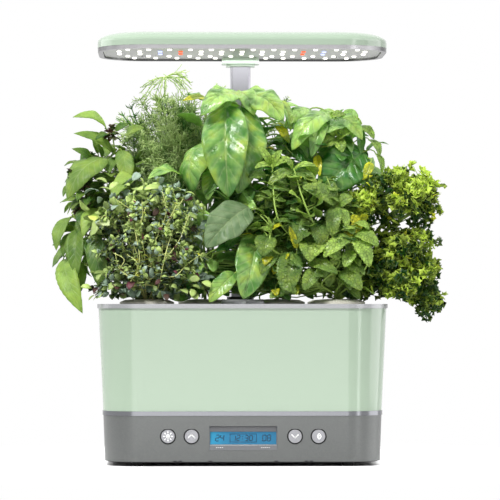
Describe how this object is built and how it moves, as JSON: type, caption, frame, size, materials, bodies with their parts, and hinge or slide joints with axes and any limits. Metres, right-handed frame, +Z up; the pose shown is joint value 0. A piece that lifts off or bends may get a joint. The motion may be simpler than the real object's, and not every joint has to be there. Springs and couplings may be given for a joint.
{
  "type": "countertop hydroponic garden",
  "caption": "Countertop hydroponic herb garden: lift-off water tank on a powered base, planted growing deck, and an LED lamp on a telescopic mast.",
  "frame": {"origin": "on the table, under the middle of the body's footprint", "axes": "+Z up, -Y out of the front with its display, +X to the right as seen from the front"},
  "size_m": [0.3595, 0.16, 0.397],
  "materials": {
    "silver_paint": "satin metallic paint",
    "deck_plastic": "satin",
    "black_plastic": "matte",
    "steel": "satin",
    "foot_rubber": "matte",
    "polished_trim": "plated, bright",
    "screen": "clear, lit blue",
    "screen_module": "lit blue",
    "circuit_board": "solder mask",
    "button_plastic": "satin",
    "motor_metal": "plated",
    "sage_gloss": "gloss",
    "filter_foam": "open foam",
    "basket_plastic": "satin",
    "collar_paper": "matte",
    "sponge": "damp, fibrous",
    "thai_basil_leaf": "leaf, waxy",
    "thyme_leaf": "leaf, matte",
    "dill_leaf": "leaf, feathery",
    "basil_leaf": "leaf, glossy",
    "parsley_leaf": "leaf, curly",
    "mint_leaf": "leaf, textured",
    "mast_aluminium": "satin anodised",
    "sleeve_plastic": "satin",
    "bezel_grey": "satin metallic paint",
    "board_white": "satin, white coated",
    "heat_sink_aluminium": "as cast",
    "led_white": "lit white",
    "led_red": "lit red",
    "led_blue": "lit cool white"
  },
  "bodies": {
    "base": {"base_housing": "silver_paint", "base_plate": "black_plastic", "base_screws": "steel", "rubber_feet": "foot_rubber", "trim_band": "polished_trim", "display_frame": "black_plastic", "display_lens": "screen", "display_module": "screen_module", "control_board": "circuit_board", "tact_switches": "black_plastic", "power_inlet": "black_plastic", "pump_motor": "motor_metal", "mast_sleeve": "sleeve_plastic", "mast_bush": "black_plastic", "lamp_lead": "black_plastic"},
    "tank": {"tank_shell": "sage_gloss", "reservoir": "black_plastic", "impeller_pin": "steel", "pump_cover": "black_plastic", "pump_filter": "filter_foam"},
    "deck": {"grow_deck": "deck_plastic", "deck_rim": "silver_paint", "lid_pin": "steel", "grow_basket_1": "basket_plastic", "grow_basket_2": "basket_plastic", "grow_basket_3": "basket_plastic", "grow_basket_4": "basket_plastic", "grow_basket_5": "basket_plastic", "grow_basket_6": "basket_plastic", "pod_collar_1": "collar_paper", "pod_collar_2": "collar_paper", "pod_collar_3": "collar_paper", "pod_collar_4": "collar_paper", "pod_collar_5": "collar_paper", "pod_collar_6": "collar_paper", "grow_sponges": "sponge", "thai_basil": "thai_basil_leaf", "thyme": "thyme_leaf", "dill": "dill_leaf", "basil": "basil_leaf", "parsley": "parsley_leaf", "mint": "mint_leaf"},
    "fill_lid": {"fill_lid": "deck_plastic"},
    "light_button": {"light_button": "button_plastic"},
    "up_button": {"up_button": "button_plastic"},
    "down_button": {"down_button": "button_plastic"},
    "feed_button": {"feed_button": "button_plastic"},
    "drive_magnet": {"drive_magnet": "motor_metal"},
    "impeller": {"impeller": "black_plastic"},
    "outer_tube": {"mast_tube": "mast_aluminium"},
    "inner_tube": {"inner_tube": "mast_aluminium"},
    "lamp_head": {"lamp_shell": "sage_gloss", "lamp_bezel": "bezel_grey", "led_board": "board_white", "leds_white": "led_white", "leds_red": "led_red", "leds_blue": "led_blue", "heat_sink": "heat_sink_aluminium", "lamp_collar": "sage_gloss", "lamp_screws": "steel"}
  },
  "joints": [
    {"name": "tank_lift", "type": "slide", "parent": "base", "child": "tank", "axis": [0, 0, 1], "range_m": [0, 0.008]},
    {"name": "deck_lift", "type": "slide", "parent": "tank", "child": "deck", "axis": [0, 0, 1], "range_m": [0, 0.008]},
    {"name": "lid_hinge", "type": "hinge", "parent": "deck", "child": "fill_lid", "pos_m": [0, -0.036, 0.1497], "axis": [-1, 0, 0], "range_deg": [0, 100]},
    {"name": "light_press", "type": "slide", "parent": "base", "child": "light_button", "axis": [0, 1, 0], "range_m": [0, 0.0009], "stiffness_N_per_m": 900, "springref_m": -0.0006},
    {"name": "up_press", "type": "slide", "parent": "base", "child": "up_button", "axis": [0, 1, 0], "range_m": [0, 0.0009], "stiffness_N_per_m": 900, "springref_m": -0.0006},
    {"name": "down_press", "type": "slide", "parent": "base", "child": "down_button", "axis": [0, 1, 0], "range_m": [0, 0.0009], "stiffness_N_per_m": 900, "springref_m": -0.0006},
    {"name": "feed_press", "type": "slide", "parent": "base", "child": "feed_button", "axis": [0, 1, 0], "range_m": [0, 0.0009], "stiffness_N_per_m": 900, "springref_m": -0.0006},
    {"name": "motor_spin", "type": "hinge", "parent": "base", "child": "drive_magnet", "pos_m": [0, 0.008, 0.035], "axis": [0, 0, 1], "continuous": true},
    {"name": "impeller_spin", "type": "hinge", "parent": "tank", "child": "impeller", "pos_m": [0, 0.008, 0.058], "axis": [0, 0, 1], "continuous": true},
    {"name": "mast_slide", "type": "slide", "parent": "base", "child": "outer_tube", "axis": [0, 0, 1], "range_m": [-0.112, 0], "deforming": ["thai_basil", "thyme", "dill", "basil", "parsley", "mint", "lamp_lead"]},
    {"name": "inner_slide", "type": "slide", "parent": "outer_tube", "child": "inner_tube", "axis": [0, 0, 1], "range_m": [0, 0.045]},
    {"name": "lamp_lift", "type": "slide", "parent": "inner_tube", "child": "lamp_head", "axis": [0, 0, 1], "range_m": [0, 0.03]}
  ],
  "couplings": [
    {"joint": "impeller_spin", "follows": "motor_spin", "ratio": 1}
  ]
}
